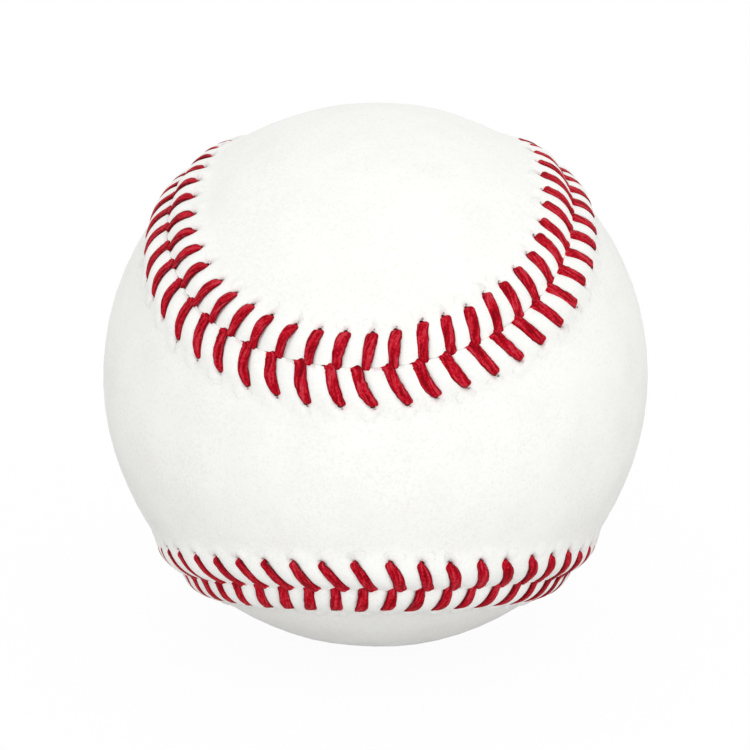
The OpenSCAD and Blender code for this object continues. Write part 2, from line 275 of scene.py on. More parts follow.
def dropIn(x):
    # How near a place along the seam is to a stitch that sinks into the crease, from 0 to 1
    near = 0
    for side in (back, front):
        way = seam["sinkAt"][side] - seam["diveAt"][side]
        for share in (0, cover["diveWay"]):
            spot = seam["diveAt"][side] + way * share
            off = np.abs((x - strayed(x, seam["creep"]) - spot + 0.5) % 1 - 0.5)
            near = np.maximum(near, 0.5 + 0.5 * np.cos(np.clip(off / cover["diveReach"], 0, 1) * math.pi))
    return near


def bandPlaces(side, column, line, section):
    # Where the points of the raised band lie over the seam, by their column round it and their line
    # in its cross-section
    columns = cover["columns"]
    i = np.floor_divide(column, columns)
    phase = (column % columns) / columns
    kinds = np.array([kind for kind, _ in section])[line]
    values = np.array([value for _, value in section], float)[line]
    isRow = (kinds == "outer") | (kinds == "inner")
    n = np.where(isRow, values, cover["edgeAt"])
    x = stitchLine(side, i, n)
    x = x + (stitchLine(side, i + 1, n) - x) * phase

    # The points that bound a needle hole are drawn in to its rounded outline
    hole = np.rint(column / columns).astype(int)
    a = column - hole * columns
    b = np.rint((n - seam["setback"]) / cover["holeRow"])
    rim = isRow & (np.maximum(np.abs(a), np.abs(b)) == cover["holeSteps"])
    theta = np.arctan2(b, a)
    holeN = seam["setback"] + sewing[side]["holeDrift"][hole % stitches]
    holeX = stitchLine(side, hole, seam["setback"])
    n = np.where(rim, holeN + cover["holeReach"] * np.sin(theta), n)
    x = np.where(rim, holeX + cover["holeHalf"] * np.cos(theta) / pitch, x)
    start = stitchLine(side, i, n)
    phase = (x - start) / (stitchLine(side, i + 1, n) - start)
    return i, phase, x, n, kinds, values


def bandPoints(side, column, line, section):
    i, phase, x, n, kinds, values = bandPlaces(side, column, line, section)
    isRow = (kinds == "outer") | (kinds == "inner")

    # Rounded edge and wall of the crease, which opens where a stitch goes down
    opening = dropIn(x)
    closed, opened = cover["creaseHalf"]
    edge = closed + (opened - closed) * opening
    top = leatherR + leatherHeight(side, i, phase, edge + cover["rollR"], x)
    turn = np.radians(np.where(kinds == "roll", values, 0))
    rollN = edge + cover["rollR"] * (1 - np.cos(turn))
    closed, opened = cover["rollDrop"]
    drop = closed + (opened - closed) * opening
    rollTop = top - drop * (1 - np.sin(turn))
    wallTop = channelR + values * (top - drop - channelR)
    full, none = cover["channel"]
    lift = np.clip((none - n) / (none - full), 0, 1)
    r = np.select(
        [kinds == "outer", kinds == "roll", kinds == "wall"],
        [leatherR + leatherHeight(side, i, phase, n, x), rollTop, wallTop],
        innerR + (channelR - innerR) * lift)
    n = np.select([isRow, kinds == "roll"], [n, rollN], edge)
    return place(x, side * n, r)


def mappedGrid(bm, across, up, mapping):
    # A grid of across by up faces whose corners are moved to mapping(column, line). Gives its vertices by
    # column and line.
    made = bmesh.ops.create_grid(bm, x_segments=across, y_segments=up, size=1)["verts"]
    flat = np.array([v.co[:2] for v in made])
    column = np.rint((flat[:, 0] + 1) / 2 * across).astype(int)
    line = np.rint((flat[:, 1] + 1) / 2 * up).astype(int)
    for v, p in zip(made, mapping(column, line)):
        v.co = p * mm
    return {(c, k): v for c, k, v in zip(column.tolist(), line.tolist(), made)}


def between(a, b, share):
    # Points on the ball along the shortest way from a to b
    ra, rb = np.linalg.norm(a, axis=1), np.linalg.norm(b, axis=1)
    u, v = a / ra[:, None], b / rb[:, None]
    w = np.arccos(np.clip((u * v).sum(1), -1, 1))[:, None]
    way = (np.sin((1 - share[:, None]) * w) * u + np.sin(share[:, None] * w) * v) / np.sin(w)
    return way * (ra + (rb - ra) * share)[:, None]


def mapHoles(side, bm, holeMap, band, first, section):
    # Each face knows how far it lies from its needle hole, in millimetres along the seam and away from it
    grid = np.array(list(band))
    _, _, x, n, _, _ = bandPlaces(side, grid[:, 0] + first, grid[:, 1], section)
    columns = (grid[:, 0] + first).tolist()
    spot = dict(zip(band.values(), zip(columns, x.tolist(), n.tolist())))
    holeX = stitchLine(side, np.arange(-1, stitches + 1), seam["setback"]).tolist()
    drift = sewing[side]["holeDrift"].tolist()
    for face in bm.faces:
        spots = [spot[loop.vert] for loop in face.loops]
        hole = round((min(c for c, _, _ in spots) + 0.5) / cover["columns"])
        holeN = seam["setback"] + drift[hole % stitches]
        for loop, (_, xs, ns) in zip(face.loops, spots):
            loop[holeMap].uv = ((xs - holeX[hole + 1]) * pitch, ns - holeN)


def coverPanel(side, name):
    columns = cover["columns"]
    total = columns * stitches
    section = [("outer", n) for n in cover["rows"]]
    section += [("roll", a) for a in cover["roll"]]
    section += [("wall", share) for share in cover["wall"]]
    section += [("inner", n) for n in cover["innerRows"]]
    first = -columns // 2
    bm = bmesh.new()
    # Painted shade in the needle holes, which darkens their walls towards the inner rim
    paintedHoleShade = bm.verts.layers.float.new("paintedHoleShade")
    holeMap = bm.loops.layers.uv.new("hole")
    band = mappedGrid(bm, total, len(section) - 1,
                      lambda c, k: bandPoints(side, c + first, k, section))
    mapHoles(side, bm, holeMap, band, first, section)

    # Each needle hole is cut through the outer and the inner face, and walled
    steps = cover["holeSteps"]
    holeLines = [[k for k, (kind, n) in enumerate(section)
                  if kind == face and abs(n - seam["setback"]) < (steps + 0.5) * cover["holeRow"]]
                 for face in ("outer", "inner")]
    rims = []
    doomed = set()
    for i in range(stitches):
        middle = i * columns - first
        pair = []
        for lines in holeLines:
            block = {(a, k): band[(middle + a, k)] for a in range(-steps, steps + 1) for k in lines}
            inside = set(block.values())
            doomed.update(f for v in inside for f in v.link_faces if inside.issuperset(f.verts))
            pair.append([v for (a, k), v in block.items() if abs(a) == steps or k in (lines[0], lines[-1])])
        rims.append(pair)
    bmesh.ops.delete(bm, geom=list(doomed), context="FACES")
    for pair in rims:
        edges = []
        for rim in pair:
            inside = set(rim)
            edges += list({e for v in rim for e in v.link_edges
                           if e.is_boundary and inside.issuperset(e.verts)})
        bmesh.ops.bridge_loops(bm, edges=edges)
    # The inner rims of the holes carry the painted shade in full
    for _, innerRim in rims:
        for v in innerRim:
            v[paintedHoleShade] = 1

    # The flat of the panel, filled between points of the band that face each other
    tip = seam["lobeTip"][side] - seam["holeAt"][side] - seam["pleatLean"]
    mirror = int(round(2 * tip * columns)) // 2 * 2 + 1
    start = (mirror + 1) // 2
    for k in (0, len(section) - 1):
        def flatPoints(j, m, k=k):
            left = bandPoints(side, start + j, np.full(j.shape, k), section)
            right = bandPoints(side, start - 1 - j, np.full(j.shape, k), section)
            # The first and the last row are one short edge of the band
            share = m / cover["flatParts"]
            share = np.where((j == 0) | (j == total // 2 - 1), np.rint(share), share)
            return between(left, right, share)
        flat = mappedGrid(bm, total // 2 - 1, cover["flatParts"], flatPoints)
        for face in {f for v in flat.values() for f in v.link_faces}:
            for loop in face.loops:
                loop[holeMap].uv = (0, 9)   # far from any hole
    bmesh.ops.remove_doubles(bm, verts=bm.verts, dist=weld * mm)
    bm.verts.ensure_lookup_table()
    co = np.array([v.co for v in bm.verts]) / mm
    co = co + unit(co) * unevenness(co)[:, None]
    for v, p in zip(bm.verts, co):
        v.co = p * mm
    return closedPiece(bm, name)


def closedPiece(bm, name):
    bmesh.ops.recalc_face_normals(bm, faces=bm.faces)
    triangles = sum(len(face.verts) - 2 for face in bm.faces)
    loose = sum(len(edge.link_faces) != 2 for edge in bm.edges)
    print(name, "triangles", triangles, "open or crossed edges", loose)
    return finishedPiece(bm, name)


def finishedPiece(bm, name):
    mesh = bpy.data.meshes.new(name)
    bm.to_mesh(mesh)
    bm.free()
    mesh.shade_smooth()
    obj = bpy.data.objects.new(name, mesh)
    bpy.context.scene.collection.objects.link(obj)
    return obj


# The thread: a waxed cord of four plies, pressed flat where it is pulled over the leather
cord = {
    "around": 12,       # points round the cord
    "plies": 4,
    "lay": 26.0,        # length of one turn of a ply
    "plyDepth": 0.05,
    "squareness": 2.7,  # 2 is an ellipse, more is flatter with rounder corners
    "seat": 0.04,       # clearance over the leather
    # Stations of a stitch from its hole to the seam: width, thickness
    "holeBottom": (0.70, 0.42),
    "inHole": (0.62, 0.40),
    "inHoleRise": 0.25,   # over the inner face of the leather
    "overRim": {back: (1.44, 0.42), front: (1.14, 0.42)},
    "hidden": (0.80, 0.42),
    "holeSlip": 0.02,   # how far the thread lies to one side in its hole, in stitches
    "rimSlip": {back: -0.10, front: -0.04},   # how far it lies past the middle of the hole at the rim
    "rimSeat": 4.4,     # distance from the seam whose groove it lies on there
    "endTurn": 0.30,    # turn of its flat end over the rim of the hole, in radians
    # Over the leather: distance from the seam, width, thickness
    "over": {
        back: [(4.2, 1.62, 0.52), (3.5, 1.76, 0.60), (2.7, 1.76, 0.62),
               (1.8, 1.62, 0.60), (1.0, 1.46, 0.58), (0.45, 1.34, 0.54)],
        front: [(4.2, 1.40, 0.50), (3.5, 1.62, 0.56), (2.7, 1.72, 0.58),
                (1.8, 1.72, 0.58), (1.0, 1.68, 0.58), (0.45, 1.66, 0.56)],
    },
    # Into the crease: distance from the seam, share of the way along to where it sinks, rise over the
    # leather's middle radius, width, thickness, lean in degrees
    "sink": {
        back: [(-0.30, 0, 0.50, 1.24, 0.50, 0), (-0.05, 0, -0.10, 1.05, 0.46, 0)],
        front: [(0.14, 0.15, 0.52, 1.58, 0.48, 36), (0.00, 0.66, 0.36, 1.05, 0.42, 60),
                (0.05, 1, -0.10, 0.72, 0.40, 60)],
    },
    "bow": -0.055,      # how far the middle of a stitch lies to one side, in stitches
    "endSlip": {back: 0.045, front: 0.055},   # how far its end lies to the other side
    "endShare": 0.3,    # share of a stitch that slips so
    "hiddenAt": (0.35, 0.7),   # stations of the hidden run, as shares of the way to the next hole
    "startAt": 0.45,    # where the thread's middle crosses under the seam, in stitches
    "tilt": 0.09,       # how far the back panel's stitches roll to one side
    "tiltReach": 1.5,   # distance from the seam at which they roll in full
    # Uneven twist of the yarn: mm from one value to the next, then share of width, mm aside and radians
    "knots": 0.45,
    "uneven": (0.035, 0.03, 0.12),
    # Rings of points after each station: in the hole, at its rim, over the leather, in the crease, hidden
    "rings": {"hole": 2, "rim": 4, "bend": 3, "over": 2, "crease": 3, "hidden": 1},
}


def stitchStations(side, i):
    # One stitch and its hidden run as rows of x, n, r, width, thickness and lean
    sewn = sewing[side]
    k = i % stitches
    holeN = seam["setback"] + sewn["holeDrift"][k]
    holeX = float(stitchLine(side, i, seam["setback"])) + cord["holeSlip"]
    diveX = float(stitchLine(side, i, 0.0))
    sinkX = diveX + seam["sinkAt"][side] - seam["diveAt"][side]
    full = sewn["fullness"][k] + float(strayed(i, seam["fuller"]))
    lean = math.atan2(-side * (holeX - diveX) * pitch, holeN)

    def seat(n, thickness):
        return leatherR + float(cover["grooveHeight"](n)) + cord["seat"] + thickness / 2

    width, thickness = cord["overRim"][side]
    rows = [
        (holeX, holeN, threadR, *cord["holeBottom"], lean),
        (holeX, holeN, channelR + cord["inHoleRise"], *cord["inHole"], lean),
        (holeX + cord["endSlip"][side], holeN + cord["rimSlip"][side], seat(cord["rimSeat"], thickness),
         width * full, thickness, lean + side * cord["endTurn"]),
    ]
    for n, width, thickness in cord["over"][side]:
        n *= holeN / seam["setback"]
        x = float(stitchLine(side, i, n)) + (cord["bow"] + sewn["pull"][k]) * math.sin(math.pi * n / holeN)
        x += cord["endSlip"][side] * max(0, n / holeN - (1 - cord["endShare"])) / cord["endShare"]
        rows.append((x, n, seat(n, thickness), width * full, thickness, lean))
    for n, share, rise, width, thickness, turn in cord["sink"][side]:
        rows.append((diveX + (sinkX - diveX) * share, n, leatherR + rise, width * full, thickness,
                     lean * (1 - share) - side * math.radians(turn)))
    rows.append((sinkX, 0, threadR, *cord["hidden"], rows[-1][-1] / 2))
    rows = [(x, side * n, r, w, t, turn) for x, n, r, w, t, turn in rows]
    nextHole = float(stitchLine(-side, i - 1, seam["setback"])) + cord["holeSlip"]
    for share in cord["hiddenAt"]:
        n = -side * seam["setback"] * share
        run = math.atan2(side * (nextHole - sinkX) * pitch, seam["setback"])
        rows.append((sinkX + (nextHole - sinkX) * share, n, threadR, *cord["hidden"], run))
    kinds = ["hole", "rim", "rim", "bend"] + ["over"] * (len(cord["over"][side]) - 1)
    kinds += ["crease"] * len(cord["sink"][side]) + ["hidden"] * (1 + len(cord["hiddenAt"]))
    return rows, [cord["rings"][kind] for kind in kinds]


def splineAt(rows, u):
    # A smooth curve that is drawn along the stations
    rows = np.asarray(rows, float)
    j = np.floor(u).astype(int)
    f = (u - j)[:, None]
    weights = [(1 - f) ** 3, 3 * f ** 3 - 6 * f ** 2 + 4, -3 * f ** 3 + 3 * f ** 2 + 3 * f + 1, f ** 3]
    return sum(w / 6 * rows[np.clip(j + k - 1, 0, len(rows) - 1)] for k, w in enumerate(weights))


def workingEnd(firstSide):
    # One needle sews every second hole of each panel, a stitch further back each time
    rows, marks = [], []
    for k in range(stitches):
        side = firstSide if k % 2 == 0 else -firstSide
        stations, rings = stitchStations(side, -k)
        for j, count in enumerate(rings):
            marks += [len(rows) + j + ring / count for ring in range(count)]
        rows += stations
    return rows, marks


def stitchingThread(name):
    frontRows, frontMarks = workingEnd(front)
    backRows, backMarks = workingEnd(back)
    middle = [(cord["startAt"], 0, threadR, *cord["hidden"], 0)]
    rows = frontRows[::-1] + middle + backRows
    last = len(frontRows) - 1
    marks = [last - m for m in frontMarks[::-1]] + [last + 1] + [last + 2 + m for m in backMarks]
    x, n, r, width, thickness, lean = splineAt(rows, np.array(marks, float)).T
    line = place(x, n, r)
    _, along, across = seamFrame(x)
    travel = unit(np.gradient(line, axis=0))
    tilt = cord["tilt"] * np.clip(n / cord["tiltReach"], 0, 1) * (r > leatherR)
    wide = np.cos(lean)[:, None] * along + np.sin(lean)[:, None] * across + tilt[:, None] * unit(line)
    wide = unit(wide - (wide * travel).sum(1, keepdims=True) * travel)
    thick = np.cross(travel, wide)
    length = np.concatenate([[0], np.cumsum(np.linalg.norm(np.diff(line, axis=0), axis=1))])
    rng = np.random.default_rng(21)
    knots = np.arange(0, length[-1] + 1, cord["knots"])
    fatter, aside, turned = (rng.normal(0, spread, len(knots)) for spread in cord["uneven"])
    width = width * (1 + np.interp(length, knots, fatter))
    sway = np.interp(length, knots, aside)
    twist = np.interp(length, knots, np.cumsum(turned))
    around = cord["around"]

    def cordPoints(ring, corner):
        angle = 2 * math.pi * corner / around
        c, s = np.cos(angle), np.sin(angle)
        power = 2 / cord["squareness"]
        turn = angle - 2 * math.pi * length[ring] / cord["lay"] + twist[ring]
        ply = np.abs(np.sin(cord["plies"] / 2 * turn))
        dent = cord["plyDepth"] * (1 - np.sqrt(ply))
        a = np.sign(c) * np.abs(c) ** power * (width[ring] / 2 - dent) + sway[ring]
        b = np.sign(s) * np.abs(s) ** power * (thickness[ring] / 2 - dent)
        return line[ring] + a[:, None] * wide[ring] + b[:, None] * thick[ring]

    bm = bmesh.new()
    uv = bm.loops.layers.uv.new("cord")
    grid = mappedGrid(bm, len(marks) - 1, around, cordPoints)
    spot = {v: (length[ring], corner / around) for (ring, corner), v in grid.items()}
    for face in bm.faces:
        for loop in face.loops:
            loop[uv].uv = spot[loop.vert]
    for ring in (0, len(marks) - 1):
        bm.faces.new([grid[(ring, corner)] for corner in range(around)])
    bmesh.ops.remove_doubles(bm, verts=bm.verts, dist=weld * mm)
    print(name, "length mm", round(float(length[-1])))
    return closedPiece(bm, name)


panelBack = coverPanel(back, "leather_panel_back")
panelFront = coverPanel(front, "leather_panel_front")
thread = stitchingThread("red_stitching")
for piece, node, slotName in ((panelBack, "cover_panel_back", "cover_leather"),
                              (panelFront, "cover_panel_front", "cover_leather"),
                              (thread, "stitching_thread", "red_thread")):
    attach(piece, "root")
    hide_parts(node)


# Materials
def linear(hexColour):
    # An sRGB hex value as linear red, green, blue and alpha
    parts = [int(hexColour[k:k + 2], 16) / 255 for k in (1, 3, 5)]
    return [c / 12.92 if c <= 0.04045 else ((c + 0.055) / 1.055) ** 2.4 for c in parts] + [1]


def portInUse(ports, name=None):
    # Some nodes keep ports for every type of value, of which only a few are in use
    return next(port for port in ports if port.enabled and name in (None, port.name))


def addNode(tree, kind, inputs=None, **settings):
    # An input takes a constant, a socket, or a node that gives its first output in use
    node = tree.nodes.new("ShaderNode" + kind)
    for name, value in settings.items():
        setattr(node, name, value)
    for name, value in (inputs or {}).items():
        port = node.inputs[name] if isinstance(name, int) else portInUse(node.inputs, name)
        if isinstance(value, bpy.types.Node):
            value = portInUse(value.outputs)
        if isinstance(value, bpy.types.NodeSocket):
            tree.links.new(value, port)
        else:
            port.default_value = value
    return node


def nodesOf(block):
    # The function that adds nodes to a material or to the world, which starts with none
    block.use_nodes = True
    block.node_tree.nodes.clear()
    return partial(addNode, block.node_tree)


def slope(value, pair, top=1):
    # What makes a Map Range node go from 0 at the first of a pair of values to its top at the second
    return {"Value": value, "From Min": pair[0], "From Max": pair[1], "To Max": top}


def newMaterial(name):
    # A material, the function that adds its nodes, and the place on a piece in millimetres
    material = bpy.data.materials.new(name)
    add = nodesOf(material)
    coords = add("TexCoord").outputs["Object"]
    return material, add, add("VectorMath", {0: coords, "Scale": 1 / mm}, operation="SCALE")


def surface(add, inputs):
    shader = add("BsdfPrincipled", inputs)
    add("OutputMaterial", {"Surface": shader})


def layered(add, colour, layers):
    # Colours laid over a first one, each by its share of the surface
    for share, over in layers:
        colour = add("Mix", {"Factor": share, "A": colour, "B": linear(over)}, data_type="RGBA")
    return colour


leatherFinish = {
    "face": "#f9f9f6",          # alum-tanned white cowhide
    "shade": "#f5f5f1",         # where the hide took the finish unevenly
    "paintedPoreShade": "#efeeea",          # painted shade in the pores
    "paintedHoleShade": "#3a302b",       # painted shade in the punched needle holes
    "stain": "#f6dcde",         # dye rubbed off the thread
    "paintedWrinkleShade": "#8d8781",          # painted shade in the fine lines pressed in round the holes, beside their bulges and in the crease
    "paintedSpeck": "#4d4743",         # painted shadow in dark specks at the holes
    "cloud": 7,                 # mm across a cloud of uneven finish
    "cloudShow": (0.42, 0.72),  # noise values from which it shows, and where it shows in full
    "grain": 0.42,              # mm between pores
    "grainDepth": 0.014,        # mm
    "poreShow": (0.60, 0.88),
    "porePatch": 9,             # mm across a patch in which the pores show more
    "poreSpread": 0.25,         # and how much more
    "wrinkle": 1.6,             # mm between fine wrinkles
    "wrinkleDepth": 0.028,
    "roughness": (0.45, 0.58),  # in the clear and in the cloudy places
    "roughShow": (0.3, 0.7),
    "gloss": 0.25,
}

# Marks at the needle holes: painted shade and shadow, and dye. Places and sizes are millimetres along the
# seam and away from it, from the hole.
holeFinish = {
    "waver": 0.9,               # how finely the lines waver, in waves per mm
    "waverReach": 1.6,
    "beyond": (0.1, 0.5),       # where the lines begin past the hole, and are there in full
    "lipAt": 0.98,              # wrinkle over the bulge, in the bulge's half lengths
    "lipWidth": (0.11, 0.01),   # where its painted shade begins, to either side, and is full
    "foldHalf": 0.05,           # half width of the wrinkle that runs on outwards
    "foldEnd": (2.4, 0.7),      # where it has ended, and where it begins to
    "kept": (0.42, 0.66),       # noise values from which a patch keeps its marks
    "keptPatch": 0.45,          # patches per mm
    "pressed": 0.022,           # depth of the lines
    "paintedBulgeShadow": (0.45, 0.855),    # a soft painted shadow to one side of the bulge, and its half lengths
    "paintedBulgeShadowHalf": (0.5, 0.9),
    "paintedBulgeShadowEdge": (1.3, 0.2),
    "lineShare": 0.8,           # how dark the painted shade of the lines is against the painted shadow
    "paintedCreaseShade": (0.30, 0.12),   # a thin painted shade in the crease, by the distance from the seam
    "paintedCreaseShare": 1.1,
    "paintedShadeShare": 0.2,           # how dark all this painted shade is
    "speckAt": (0.25, 0.48),    # painted shadow in dark specks at the hole's outer rim, and their half lengths
    "speckHalf": (0.4, 0.28),
    "speckGrain": 1.1,          # specks per mm
    "speckBreak": 2.6,          # how much noise breaks them up
    "speckEdge": (1.78, 1.42),
    "speckShare": 0.75,
    "stainCrease": (0.5, 0.1),  # dye, by the distance from the seam
    "stainRim": (1.2, 0.4),     # and by the distance from the hole
    "stainShare": 0.6,
    "stainPatch": 0.8,          # patches per mm
    "stainKept": (0.50, 0.68),
}


def fromSeam(pair):
    # Distances from the seam, as the map of the holes has them
    return [distance - seam["setback"] for distance in pair]


def fromMiddle(add, spot, middle, half):
    # How far a spot lies from the middle of an oval, counted in the oval's half lengths
    moved = add("Mapping", {"Vector": spot, "Scale": (1 / half[0], 1 / half[1], 1),
                            "Location": (-middle[0] / half[0], -middle[1] / half[1], 0)})
    return add("VectorMath", {0: moved}, operation="LENGTH")


def holeWrinklesAndShade(add, inMm, spot, normal):
    # Hair-fine wrinkles that the pull of the thread presses into the leather beyond each hole, with painted
    # shade in them, beside the bulge and in the crease
    look = holeFinish
    along, away, _ = add("SeparateXYZ", {0: spot}).outputs
    waver = add("TexNoise", {"Vector": inMm, "Scale": look["waver"], "Detail": 3})
    shift = add("Math", {0: waver, 1: 0.5}, operation="SUBTRACT")
    beyond = add("MapRange", slope(away, look["beyond"]))
    # One wrinkle arches over the bulge
    far, aside, halfLength, halfWidth = cover["knuckle"]
    arch = fromMiddle(add, spot, (aside, far), (halfWidth, halfLength))
    lip = add("Math", {0: shift, 1: look["waverReach"], 2: look["lipAt"]}, operation="MULTIPLY_ADD")
    gap = add("Math", {0: arch, 1: lip}, operation="SUBTRACT")
    gap = add("Math", {0: gap}, operation="ABSOLUTE")
    lipLine = add("MapRange", slope(gap, look["lipWidth"]))
    # Another runs on outwards, where the pleat closes
    fold = add("Math", {0: shift, 1: look["waverReach"]}, operation="MULTIPLY")
    foldLine = add("Math", {0: along, 1: fold, 2: look["foldHalf"]}, operation="COMPARE")
    fade = add("MapRange", slope(away, look["foldEnd"]))
    foldLine = add("Math", {0: foldLine, 1: fade}, operation="MULTIPLY")
    lines = add("Math", {0: lipLine, 1: foldLine}, operation="MAXIMUM")
    lines = add("Math", {0: lines, 1: beyond}, operation="MULTIPLY")
    patchy = add("TexNoise", {"Vector": inMm, "Scale": look["keptPatch"], "Detail": 2})
    kept = add("MapRange", slope(patchy, look["kept"]))
    lines = add("Math", {0: lines, 1: kept}, operation="MULTIPLY")
    pressed = add("Bump", {"Height": lines, "Distance": look["pressed"] * mm,
                           "Normal": normal}, invert=True)
    # A painted shadow to one side of the bulge
    paintedBulgeShadow = fromMiddle(add, spot, look["paintedBulgeShadow"], look["paintedBulgeShadowHalf"])
    paintedBulgeShadow = add("MapRange", slope(paintedBulgeShadow, look["paintedBulgeShadowEdge"]))
    paintedBulgeShadow = add("Math", {0: paintedBulgeShadow, 1: kept}, operation="MULTIPLY")
    share = add("Math", {0: lines, 1: look["lineShare"], 2: paintedBulgeShadow}, operation="MULTIPLY_ADD")
    # Painted shade in the crease
    crease = add("MapRange", slope(away, fromSeam(look["paintedCreaseShade"]), look["paintedCreaseShare"]))
    share = add("Math", {0: share, 1: crease}, operation="ADD")
    share = add("Math", {0: share, 1: look["paintedShadeShare"]}, operation="MULTIPLY")
    return share, pressed


def paintedHoleSpecks(add, inMm, spot):
    # Painted shadow: dark specks at the outer rim of each hole
    look = holeFinish
    near = fromMiddle(add, spot, look["speckAt"], look["speckHalf"])
    broken = add("TexNoise", {"Vector": inMm, "Scale": look["speckGrain"], "Detail": 4, "Roughness": 0.7})
    gap = add("Math", {0: broken, 1: look["speckBreak"], 2: near}, operation="MULTIPLY_ADD")
    return add("MapRange", slope(gap, look["speckEdge"], look["speckShare"]))


def dyeStains(add, inMm, spot):
    # Faint pink where the thread has rubbed: patches of the crease and of the leather at the holes
    look = holeFinish
    away = add("SeparateXYZ", {0: spot}).outputs[1]
    reach = add("VectorMath", {0: spot}, operation="LENGTH")
    crease = add("MapRange", slope(away, fromSeam(look["stainCrease"])))
    rim = add("MapRange", slope(reach, look["stainRim"], look["stainShare"]))
    near = add("Math", {0: crease, 1: rim}, operation="MAXIMUM")
    patchy = add("TexNoise", {"Vector": inMm, "Scale": look["stainPatch"], "Detail": 3})
    kept = add("MapRange", slope(patchy, look["stainKept"]))
    return add("Math", {0: near, 1: kept}, operation="MULTIPLY")


def whiteLeather():
    # Full-grain cowhide, tanned white and plated smooth: soft satin gloss, fine pores, faint cloudy shade
    look = leatherFinish
    material, add, inMm = newMaterial("white_cowhide")
    cloud = add("TexNoise", {"Vector": inMm, "Scale": 1 / look["cloud"], "Detail": 4, "Roughness": 0.6})
    cloudy = add("MapRange", slope(cloud, look["cloudShow"]))
    # Painted shade in the pores: a little grey, more in some patches than in others
    fine = add("TexNoise", {"Vector": inMm, "Scale": 1 / look["grain"], "Detail": 3, "Roughness": 0.7})
    patch = add("TexNoise", {"Vector": inMm, "Scale": 1 / look["porePatch"], "Detail": 2})
    both = add("Math", {0: patch, 1: look["poreSpread"], 2: fine}, operation="MULTIPLY_ADD")
    paintedPoreShare = add("MapRange", slope(both, look["poreShow"]))
    # Painted shade in the needle holes, read from the mesh
    holeShadeShare = add("Attribute", attribute_name="paintedHoleShade").outputs["Fac"]
    pores = add("TexVoronoi", {"Vector": inMm, "Scale": 1 / look["grain"]}, feature="F1")
    grain = add("Bump", {"Height": pores, "Distance": look["grainDepth"] * mm}, invert=True)
    ridges = add("TexNoise", {"Vector": inMm, "Scale": 1 / look["wrinkle"], "Detail": 5,
                              "Roughness": 0.65, "Distortion": 0.6})
    wrinkles = add("Bump", {"Height": ridges, "Distance": look["wrinkleDepth"] * mm, "Normal": grain})
    spot = add("UVMap", uv_map="hole")   # millimetres along the seam and away from it, from the nearest hole
    # Pressed wrinkles, and painted shade in them, beside the bulges and in the crease
    marks, normal = holeWrinklesAndShade(add, inMm, spot, wrinkles)
    colour = layered(add, linear(look["face"]), [
        (cloudy, look["shade"]),
        # painted shade in the pores
        (paintedPoreShare, look["paintedPoreShade"]),
        # painted shade in the needle holes
        (holeShadeShare, look["paintedHoleShade"]),
        (dyeStains(add, inMm, spot), look["stain"]),
        # painted shade of the wrinkles, bulges and crease
        (marks, look["paintedWrinkleShade"]),
        # painted shadow in specks at the holes
        (paintedHoleSpecks(add, inMm, spot), look["paintedSpeck"]),
    ])
    smooth, dull = look["roughness"]
    sheen = add("MapRange", {**slope(cloud, look["roughShow"], dull), "To Min": smooth})
    surface(add, {"Base Color": colour, "Normal": normal, "Roughness": sheen,
                  "Specular IOR Level": look["gloss"]})
    return material


threadFinish = {
    "ply": "#be001d",           # dyed and waxed cotton
    "fold": "#68000a",          # darker red in the low parts of the fibre texture, and painted shade along the pressed edges
    "fuzz": "#e27888",          # painted highlights on the raised fibres
    "girth": 4.2,               # mm round the cord
    "fibre": 0.30,              # mm between strands of fibre
    "strand": 3.4,              # mm that a strand runs before it dips under
    "grain": 0.36,              # mm between flecks
    "fleck": 0.45,              # how much the flecks count against the strands
    "depth": 0.020,             # mm
    "foldShow": (0.76, 0.57),   # heights from which the folds and the painted highlights show
    "foldShare": 0.85,
    "paintedHighlightShow": (0.72, 1.60),
    "paintedEdgeShadeShow": (-0.4, 0.7),    # how near the pressed edges the painted shade lies: 1 is at an edge
    "paintedEdgeShadeShare": 0.9,
    "roughness": 0.60,
    "gloss": 0.06,
}


